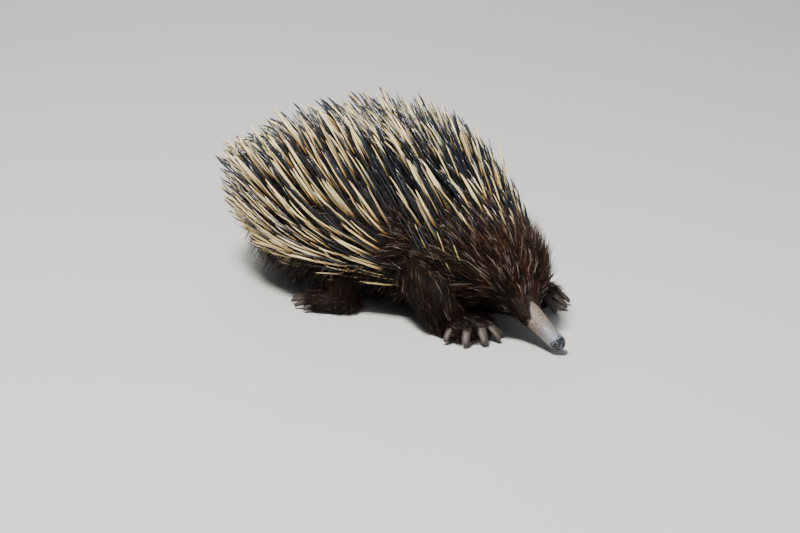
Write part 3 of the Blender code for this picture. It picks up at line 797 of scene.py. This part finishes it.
# %% Lengths, lean and tones of the hair, which change along the head and down the flanks
def cheek(place, turn):
    """How deep a root lies in the dark cheek about the eye, from 0 to 1."""
    return step_up(place, 10.3, 11.2) * step_up(np.abs(turn), 62, 84)


def head_length(place, turn):
    return 5.5 + 4 * (1 - step_up(place, 11.4, 12.9)) + 10 * (1 - step_up(place, 9.2, 12.0))


def head_rise(place, turn):
    crown = (1 - step_up(place, 10.2, 12.0)) * (1 - step_up(np.abs(turn), 50, 110))
    return 0.24 + 0.3 * crown


def head_pale(place, turn):
    return 0.11 * (1 - 0.7 * cheek(place, turn))


def head_dark(place, turn):
    throat = step_up(np.abs(turn), 105, 140)
    return 0.42 * (cheek(place, turn) * (1 - step_up(place, 11.7, 12.3))) + 0.25 * throat


def fringe_droop(place, turn):
    return step_up(180 - np.abs(turn - 180), 88, 116)


def fringe_length(place, turn):
    return 12 + 12 * step_up(np.abs(turn - 180), 25, 55)


# %% Hair from the beak to the tail, then limb by limb
AROUND, OVER = (-180, 180), (-134, 134)
head = dict(
    length=head_length, rise=head_rise, half=0.21, pale=head_pale, dark=head_dark, clump=3.6, wild=0.15,
    edge=beak_edge,
)
belly = dict(length=fringe_length, rise=0.2, half=0.3, pale=0.09, droop=fringe_droop, dark=0.12)
# The wool is given a darker tone as painted shade in the gaps between the spines
wool = dict(droop=-0.1, dark=0.22, clump=7, wild=0.25)
fold = dict(droop=-0.3, dark=-0.08, clump=3.5, wild=0.35, edge=fold_edge)
upper = dict(droop=0.25, dark=0.12, clump=5)
lower = dict(droop=0.1, dark=0.15, clump=3, wild=0.2)
hair = [
    grow_hair("hair_head_right", 0, (8.3, 12.95), (-180, 0), 0.76 * MM, 21, **head),
    grow_hair("hair_head_left", 0, (8.3, 12.95), (0, 180), 0.76 * MM, 27, **head),
    grow_hair("hair_neck", 0, (6.9, 8.6), AROUND, 1.2 * MM, 22, 19, 0.45, 0.25, 0.13),
    grow_hair("wool", 0, (0.3, 7.1), OVER, 2.5 * MM, 23, 14, 0.3, 0.34, 0.05, **wool),
    grow_hair("wool_fold", 0, (6.2, 7.4), OVER, 1.0 * MM, 26, 12, 0.9, 0.26, 0.08, **fold),
    grow_hair("hair_belly", 0, (0.3, 7.4), (107, 253), 1.9 * MM, 24, **belly),
    grow_hair("hair_tail", 1, (0.8, 3.95), AROUND, 1.2 * MM, 25, 8, 0.1, 0.3, 0.12),
]
for i, side in enumerate(("right", "left")):
    for start, part in ((0, "fore"), (2, "hind")):
        k = 2 + start + i
        limb, foot = f"hair_{part}limb_{side}", f"hair_{part}foot_{side}"
        hair += [
            grow_hair(limb, k, (0.7, 4.7), AROUND, 1.05 * MM, 30 + k, 13, 0.3, 0.24, 0.07, **upper),
            grow_hair(
                foot, k + 4, (0.1, 3.92), (-124, 124), 0.85 * MM, 40 + k, 7.5, 0.42, 0.24, 0.06, **lower
            ),
        ]

# %% [markdown]
# ## Eyes, lids, ears and claws
# The eye is a small wet ball, deep in the hair, with a rim of bare skin. The ear is a low cup. The fore
# claws are broad and blunt for digging, and the second claw of each hind foot is long, for combing
# between the spines.

# %% Eyes and lids
LID_HALF, LID_LOW, LID_STRETCH, LID_OUT = 0.5 * MM, 0.25 * MM, 1.12, 0.6


def eye(side):
    name = side_name(side)
    point, centre, turn = eye_seat(body, side)
    globe = ball(f"eyeball_{name}", centre, [EYE_RADIUS] * 3, turn, 32, 20)
    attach(globe, "root")
    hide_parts(f"eye_{name}")
    # The rim lies where the ball leaves the skin, drawn out a little along the head
    reach = math.sqrt(EYE_RADIUS**2 - (EYE_RADIUS - EYE_SHOWN) ** 2)
    bpy.ops.mesh.primitive_torus_add(
        major_segments=48, minor_segments=12, major_radius=reach + LID_HALF * LID_OUT, minor_radius=LID_HALF
    )
    rim = bpy.context.object
    rim.name = f"eyelids_{name}"
    rim.data.name = rim.name
    for vert in rim.data.vertices:
        vert.co.x *= LID_STRETCH
        vert.co.z += LID_LOW * (0.5 if vert.co.y * side < 0 else 1)
    rim.data.transform(Matrix.Translation(point) @ turn)
    shade_smooth(rim.data)
    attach(rim, "root")
    return globe, rim


eyeballs, lids = zip(*(eye(side) for side in (-1, 1)))
print("eyes at", [[round(v / MM) for v in place] for place in EYES])


# %% Ears
EAR_SIZE, EAR_WALL, EAR_OUT, EAR_RIM = (3.0 * MM, 5.6 * MM, 2.6 * MM), 0.7 * MM, 0.2 * MM, 0.45
EAR_CURL, EAR_SLANT = 0.25, 0.12


def ear(side):
    """A bowl, cut from a ball, given a wall, and sunk into the side of the head."""
    name = side_name(side)
    point, out, turn = seat(body, EAR_PLACE, EAR_TURN * side)
    bm = sphere(32, 20)
    every = bm.verts[:] + bm.edges[:] + bm.faces[:]
    bmesh.ops.bisect_plane(bm, geom=every, plane_co=(0, 0, EAR_RIM), plane_no=(0, 0, 1), clear_outer=True)
    for vert in bm.verts:
        vert.co.z += EAR_CURL * vert.co.x * vert.co.x - EAR_SLANT * vert.co.y
    placed = Matrix.Translation(point + out * EAR_OUT) @ turn @ Matrix.Diagonal((*EAR_SIZE, 1))
    bmesh.ops.transform(bm, matrix=placed, verts=bm.verts)
    bmesh.ops.recalc_face_normals(bm, faces=bm.faces)
    made = new_object(f"earcup_{name}", bm)
    wall = made.modifiers.new("wall", "SOLIDIFY")
    wall.thickness, wall.offset = EAR_WALL, -1
    shade_smooth(applied(made).data)
    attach(made, "root")
    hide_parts(f"ear_{name}")
    return made


ears = [ear(side) for side in (-1, 1)]
print("ears at", [[round(v / MM) for v in place] for place in EARS])


# %% Claws
# Share of the length, of the width and of the drop at each station
CLAW_STATIONS = (
    (-0.25, 0, -0.02), (-0.15, 0.8, 0), (0.15, 1, 0.06), (0.45, 0.97, 0.3), (0.75, 0.8, 0.64),
    (0.93, 0.55, 0.92), (1, 0, 1),
)
CLAW_TIP, CLAW_LOW, CLAW_ABOVE, CLAW_BELOW = 2.3 * MM, 0.1 * MM, 1.9, 1.5


def claw(name, root, heading, length, width):
    ahead = Vector((math.cos(heading), math.sin(heading), 0))
    droop = root.z - CLAW_TIP
    rows = []
    for share, wide, down in CLAW_STATIONS:
        at = (root + ahead * length * share - Vector((0, 0, droop * down))) / MM
        deep = min(1, wide * 1.3)
        rows.append((*at, width / MM * wide, CLAW_ABOVE * deep, CLAW_BELOW * deep))
    return Sweep(rows).mesh(name, 20, 26)


claws = []
for foot, side, rows in CLAWS:
    piece = joined(f"claws_{foot}_{side_name(side)}", [claw("claw", *row) for row in rows])
    for vert in piece.data.vertices:
        vert.co.z = max(vert.co.z, CLAW_LOW)
    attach(piece, "root")
    claws.append(piece)
print("claws on", len(claws), "feet")

# %% [markdown]
# ## Finishes
# Every finish is procedural. Spines and hair read how far along they are and their own tone. Skin reads
# its place along the body, so that it turns from dark and furred to bare and greyish tan, and then to a
# painted bluish sheen, blotched dark, near the tip. A shared group gives blotches and a height for bumps
# to several of them.

# %% A small helper for node trees, and the shared group
class Tree:
    """Short calls to add nodes, set their sockets and link them."""

    def __init__(self, tree):
        self.tree = tree

    def add(self, kind, settings=None, **inputs):
        node = self.tree.nodes.new(kind)
        for key, value in (settings or {}).items():
            setattr(node, key, value)
        return self.fill(node, **inputs)

    def fill(self, node, **inputs):
        for key, value in inputs.items():
            self.put(node.inputs[key.replace("_", " ")], value)
        return node

    def put(self, socket, value):
        if isinstance(value, bpy.types.NodeSocket):
            self.tree.links.new(value, socket)
        elif isinstance(value, tuple) and socket.type == "RGBA":
            socket.default_value = (*value, 1)
        else:
            socket.default_value = value

    def math(self, operation, values, clamp):
        node = self.add("ShaderNodeMath", {"operation": operation, "use_clamp": clamp})
        for socket, value in zip(node.inputs, values):
            self.put(socket, value)
        return node.outputs[0]

    def times(self, *values, clamp=False):
        return self.math("MULTIPLY", values, clamp)

    def plus(self, *values, clamp=False):
        return self.math("ADD", values, clamp)

    def minus(self, *values, clamp=False):
        return self.math("SUBTRACT", values, clamp)

    def ramped(self, value, start, slope):
        """0 up to the start, then up to 1 at this slope."""
        return self.times(self.minus(value, start), slope, clamp=True)

    def mix(self, share, first, second, blend="MIX"):
        node = self.add("ShaderNodeMix", {"data_type": "RGBA", "blend_type": blend})
        for socket, value in ((0, share), (6, first), (7, second)):
            self.put(node.inputs[socket], value)
        return node.outputs[2]

    def ramp(self, value, *stops):
        node = self.add("ShaderNodeValToRGB")
        while len(node.color_ramp.elements) < len(stops):
            node.color_ramp.elements.new(0.5)
        for element, (place, colour) in zip(node.color_ramp.elements, stops):
            element.position = place
            element.color = (*colour, 1)
        self.put(node.inputs[0], value)
        return node.outputs[0]

    def attribute(self, name):
        return self.add("ShaderNodeAttribute", {"attribute_name": name}).outputs["Fac"]

    def noise(self, scale, detail, rough, stretch=None):
        place = self.add("ShaderNodeTexCoord").outputs["Object"]
        if stretch:
            place = self.add("ShaderNodeMapping", Vector=place, Scale=stretch).outputs[0]
        node = self.add("ShaderNodeTexNoise", Vector=place, Scale=scale, Detail=detail, Roughness=rough)
        return node.outputs[0]


def finish(name, pieces, build, **constants):
    """Gives the pieces one material, whose Principled shader build and the constants fill in."""
    material = bpy.data.materials.new(name)
    material.use_nodes = True
    tree = Tree(material.node_tree)
    build(tree, tree.fill(material.node_tree.nodes["Principled BSDF"], **constants))
    for piece in pieces:
        piece.data.materials.clear()
        piece.data.materials.append(material)
    print(name, "on", len(pieces), "pieces")


# Blotches at two sizes: Mask for colour and Height for a bump
BLOTCHES = bpy.data.node_groups.new("blotches", "ShaderNodeTree")
for way, names in (("INPUT", ("Scale", "Contrast")), ("OUTPUT", ("Mask", "Height"))):
    for name in names:
        BLOTCHES.interface.new_socket(name, in_out=way, socket_type="NodeSocketFloat")
tree = Tree(BLOTCHES)
entry, leave = tree.add("NodeGroupInput"), tree.add("NodeGroupOutput")
coarse = tree.noise(entry.outputs["Scale"], 4, 0.6)
fine = tree.noise(tree.times(entry.outputs["Scale"], 4.1), 3, 0.6)
both = tree.plus(tree.times(coarse, 0.7), tree.times(fine, 0.3))
spread = tree.times(tree.minus(both, 0.5), entry.outputs["Contrast"])
tree.fill(leave, Mask=tree.plus(spread, 0.5, clamp=True), Height=fine)


def blotches(tree, scale, contrast):
    node = tree.add("ShaderNodeGroup", {"node_tree": BLOTCHES}, Scale=scale, Contrast=contrast)
    return node.outputs["Mask"], node.outputs["Height"]


def bump(tree, height, strength, distance):
    return tree.add("ShaderNodeBump", Height=height, Strength=strength, Distance=distance).outputs[0]


# %% Spines: cream with a dark foot of painted shade, or slate with a painted sheen at the tip
# Cream spine from root to tip: the near-black foot is painted shade among the crowded roots, and the amber,
# cream and brown tip above it are the spine's own colour
CREAM = (
    (0.0, (0.012, 0.008, 0.005)), (0.08, (0.04, 0.02, 0.01)), (0.16, (0.3, 0.16, 0.055)),
    (0.27, (0.6, 0.42, 0.15)), (0.6, (0.82, 0.7, 0.38)), (0.93, (0.77, 0.61, 0.31)),
    (1.0, (0.4, 0.27, 0.14)),
)
# Slate spine from root to tip: near black, and the lighter blue-grey near the tip is a painted sheen
SLATE = (
    (0.0, (0.004, 0.003, 0.003)), (0.35, (0.004, 0.004, 0.006)),
    (0.8, (0.008, 0.01, 0.015)), (1.0, (0.05, 0.053, 0.06)),
)
AMBER, AGED = (0.45, 0.21, 0.06), (0.2, 0.12, 0.06)


def spine_finish(tree, shader):
    along, tone, kind = (tree.attribute(name) for name in ("along", "tone", "kind"))
    moved = tree.plus(along, tree.times(tree.minus(tone, 0.5), 0.16))
    cream = tree.ramp(moved, *CREAM)
    slate = tree.ramp(moved, *SLATE)
    warm = tree.times(tree.minus(tone, 0.75, clamp=True), 1.8)
    amber = tree.mix(warm, cream, AMBER)
    grain = tree.noise(900, 2, 0.6, stretch=(0.25, 1, 1))
    aged = tree.mix(tree.times(grain, 0.35), amber, AGED, "MULTIPLY")
    rough = tree.plus(tree.times(grain, 0.18), 0.14)
    colour = tree.mix(kind, slate, aged)
    tree.fill(shader, Base_Color=colour, Roughness=rough, Normal=bump(tree, grain, 0.25, 0.2 * MM))


finish("spine_keratin", spines, spine_finish, Specular_IOR_Level=0.6)


# %% Hair: dark brown to black, with pale streaks
BROWN = (
    (0.15, (0.0015, 0.001, 0.0007)), (0.45, (0.004, 0.0017, 0.001)),
    (0.7, (0.017, 0.006, 0.003)), (0.95, (0.06, 0.021, 0.009)),
)
STRAW = ((0.1, (0.15, 0.095, 0.06)), (0.5, (0.34, 0.26, 0.19)), (0.9, (0.62, 0.53, 0.43)))
# A painted sheen, screened over the hair colour more and more towards the tip of each hair
SHEEN = (0.045, 0.022, 0.013)


def hair_finish(tree, shader):
    along, tone, kind = (tree.attribute(name) for name in ("along", "tone", "kind"))
    dark = tree.ramp(tone, *BROWN)
    pale = tree.ramp(tone, *STRAW)
    streak = tree.times(kind, tree.times(along, 1.3, clamp=True))
    colour = tree.mix(streak, dark, pale)
    lit = tree.mix(tree.times(along, 0.12), colour, SHEEN, "SCREEN")
    mask, _ = blotches(tree, 700, 1)
    tree.fill(shader, Base_Color=lit, Roughness=tree.plus(tree.times(mask, 0.2), 0.42))


finish("bristle", hair, hair_finish, Specular_IOR_Level=0.12)


# %% Skin: dark under the fur, bare on the beak, blotched and wet at the tip, with a painted bluish sheen there
UNDER_FUR = (0.006, 0.004, 0.003), (0.014, 0.008, 0.006)
WORN = (0.14, 0.11, 0.09), (0.27, 0.215, 0.165)
# The bluish grey near the tip of the beak is a painted sheen of the wet skin
SPECK, TIP_SHEEN, SPOT = (0.05, 0.04, 0.033), (0.17, 0.2, 0.27), (0.008, 0.008, 0.012)
TIP_FROM, SHEEN_FROM = 13, 13.2


def skin_finish(tree, shader):
    place = tree.attribute("along_body")
    mask, height = blotches(tree, 260, 2.2)
    ridge = tree.minus(1, tree.times(tree.attribute("turn"), 3.2), clamp=True)
    edge = tree.minus(BARE_EDGE, tree.times(ridge, WEDGE))
    bare = tree.ramped(place, edge, 7)
    tip = tree.ramped(place, TIP_FROM, 0.5)
    furred = tree.mix(mask, *UNDER_FUR)
    speck = tree.ramped(tree.noise(620, 3, 0.75), 0.4, 4.5)
    worn = tree.mix(mask, *WORN)
    beak = tree.mix(speck, tree.mix(0.7, worn, SPECK), worn)
    # A painted bluish sheen grows over the bare beak towards its tip
    sheened = tree.mix(tree.ramped(place, SHEEN_FROM, 0.5), beak, TIP_SHEEN)
    spots = tree.ramped(tree.times(tip, 0.64), tree.noise(520, 4, 0.8), 12)
    colour = tree.mix(bare, furred, tree.mix(spots, sheened, SPOT))
    dry = tree.minus(0.88, tree.times(bare, 0.26))
    rough = tree.minus(dry, tree.times(tip, 0.36))
    coords = tree.add("ShaderNodeTexCoord").outputs["Object"]
    scales = tree.add("ShaderNodeTexVoronoi", {"feature": "SMOOTH_F1"}, Vector=coords, Scale=900)
    grain = tree.plus(tree.times(scales.outputs["Distance"], 0.7), tree.times(height, 0.5))
    tree.fill(shader, Base_Color=colour, Roughness=rough, Normal=bump(tree, grain, 0.9, 0.6 * MM))


finish("skin", [skin], skin_finish, Specular_IOR_Level=0.45)


# %% Ear and lid skin, wet eyes, and horn for the claws
RIM = (0.005, 0.0035, 0.003), (0.018, 0.012, 0.01)
EYE = (0.004, 0.003, 0.002), (0.012, 0.006, 0.004)
HORN, HORN_STREAK = ((0.018, 0.014, 0.012), (0.064, 0.042, 0.032)), (0.045, 0.037, 0.034)


def rim_finish(tree, shader):
    mask, height = blotches(tree, 900, 1.6)
    rough = tree.plus(tree.times(mask, 0.2), 0.55)
    ridges = bump(tree, height, 0.5, 0.2 * MM)
    tree.fill(shader, Base_Color=tree.mix(mask, *RIM), Roughness=rough, Normal=ridges)


def eye_finish(tree, shader):
    mask, _ = blotches(tree, 600, 1.5)
    rough = tree.plus(tree.times(mask, 0.04), 0.04)
    tree.fill(shader, Base_Color=tree.mix(mask, *EYE), Roughness=rough)


def claw_finish(tree, shader):
    mask, _ = blotches(tree, 220, 1.8)
    streaks = tree.noise(1400, 2, 0.6, stretch=(0.15, 1, 1))
    colour = tree.mix(tree.times(streaks, 0.6), tree.mix(mask, *HORN), HORN_STREAK)
    rough = tree.plus(tree.times(streaks, 0.3), 0.4)
    tree.fill(shader, Base_Color=colour, Roughness=rough, Normal=bump(tree, streaks, 0.7, 0.4 * MM))


finish("rim_skin", (*ears, *lids), rim_finish, Specular_IOR_Level=0.25)
finish("wet_eye", eyeballs, eye_finish, Specular_IOR_Level=0.2, Coat_Weight=0.35, Coat_Roughness=0.02)
finish("claw_horn", claws, claw_finish)

# %% [markdown]
# ## The studio
# A pale floor, a soft light from above and in front, and weaker ones from the side and from behind keep
# the dark hair readable. The camera stands where the photo's did: in front and to the animal's right, a
# little above it, with a long lens.

# %% Floor
FLOOR_SIZE, FLOOR = 6, ((0.46, 0.45, 0.435), (0.49, 0.48, 0.465))
bm = bmesh.new()
bmesh.ops.create_grid(bm, x_segments=1, y_segments=1, size=FLOOR_SIZE)
floor = new_object("floor", bm)


def floor_finish(tree, shader):
    mask, _ = blotches(tree, 3, 0.3)
    tree.fill(shader, Base_Color=tree.mix(mask, *FLOOR))


finish("studio_floor", [floor], floor_finish, Roughness=0.9)
floor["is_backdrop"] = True


# %% Lights and world
def area_light(name, place, target, size, power, colour=(1, 1, 1)):
    lamp = bpy.data.lights.new(name, "AREA")
    lamp.size, lamp.energy, lamp.color = size, power, colour
    made = linked(name, lamp)
    made.location = place
    made.rotation_euler = (Vector(target) - Vector(place)).to_track_quat("-Z", "Y").to_euler()


area_light("key", (0.25, -0.75, 1.8), (0, 0, 0.06), 0.42, 100, (1, 0.97, 0.92))
area_light("fill", (1.5, -0.5, 0.6), (0.05, 0, 0.05), 1.0, 7, (0.95, 0.97, 1))
area_light("rim", (-1.2, 0.9, 1.1), (0, 0, 0.06), 0.8, 14)
world = bpy.data.worlds.new("studio")
world.use_nodes = True
for socket, value in (("Color", (0.8, 0.82, 0.85, 1)), ("Strength", 0.2)):
    world.node_tree.nodes["Background"].inputs[socket].default_value = value
bpy.context.scene.world = world

# %% Camera
AZIMUTH, ELEVATION, DISTANCE, LENS, SENSOR = math.radians(45), math.radians(17), 1.8, 110, 36
TARGET = Vector((SHIFT.x + 0.0096, SHIFT.y + 0.0014, 0.0181))
camera = bpy.data.cameras.new("camera")
camera.lens, camera.sensor_width = LENS, SENSOR
flat = Vector((math.sin(AZIMUTH), -math.cos(AZIMUTH), 0)) * math.cos(ELEVATION)
away = flat + Vector((0, 0, math.sin(ELEVATION)))
viewer = linked("camera", camera)
viewer.location = TARGET + away * DISTANCE
viewer.rotation_euler = (-away).to_track_quat("-Z", "Y").to_euler()
bpy.context.scene.camera = viewer

# %% Sizes for comparison, then the end
low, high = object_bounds()
total = sum(
    sum(len(face.vertices) - 2 for face in obj.data.polygons)
    for obj in bpy.context.scene.objects
    if obj.type == "MESH" and not obj.name.startswith("floor")
)
print("model box in mm", [round(v / MM) for v in low], [round(v / MM) for v in high], "triangles", total)
sizes = {"cad": [list(cad_low), list(cad_high)], "visual": [list(low), list(high)]}
